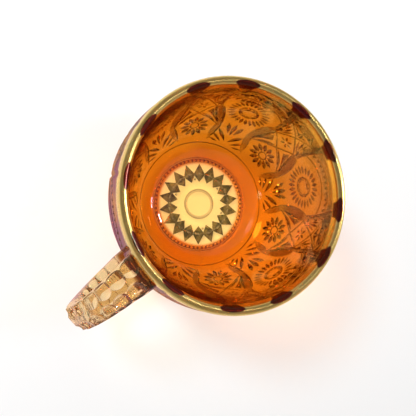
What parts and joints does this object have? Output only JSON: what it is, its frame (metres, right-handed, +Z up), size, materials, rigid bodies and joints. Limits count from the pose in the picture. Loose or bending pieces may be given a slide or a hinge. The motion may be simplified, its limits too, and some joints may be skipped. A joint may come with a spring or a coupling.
{
  "type": "carnival glass punch cup",
  "caption": "Round handled punch cup of pressed, iridised amber glass, with star medallions, fans and toothed arches on the wall and a star under the foot.",
  "frame": {"origin": "on the cup's axis, at the plane that the foot stands on", "axes": "+Z up along the cup's axis towards the mouth, +X from the axis towards the handle"},
  "size_m": [0.1098, 0.083, 0.056],
  "materials": {
    "marigold_glass": "clear pressed glass under an amber-orange iridescent film",
    "rim_glass": "fire-polished lip with a thin gold film",
    "pale_glass": "pressed glass with a thin straw-coloured film",
    "handle_glass": "clear pressed glass with a faint film that fades away from the cup"
  },
  "bodies": {
    "root": {"lower_wall": "marigold_glass", "upper_wall": "marigold_glass", "rim": "rim_glass", "base_disc": "pale_glass", "foot_ring": "marigold_glass", "foot_beads": "pale_glass", "base_star": "pale_glass", "handle": "handle_glass", "medallions": "marigold_glass", "medallion_buttons": "marigold_glass", "lower_star_panels": "marigold_glass", "upper_star_panels": "marigold_glass", "star_diamonds": "marigold_glass", "facets": "marigold_glass", "fan_sprays": "marigold_glass", "sawtooth_arches": "marigold_glass"}
  },
  "joints": []
}
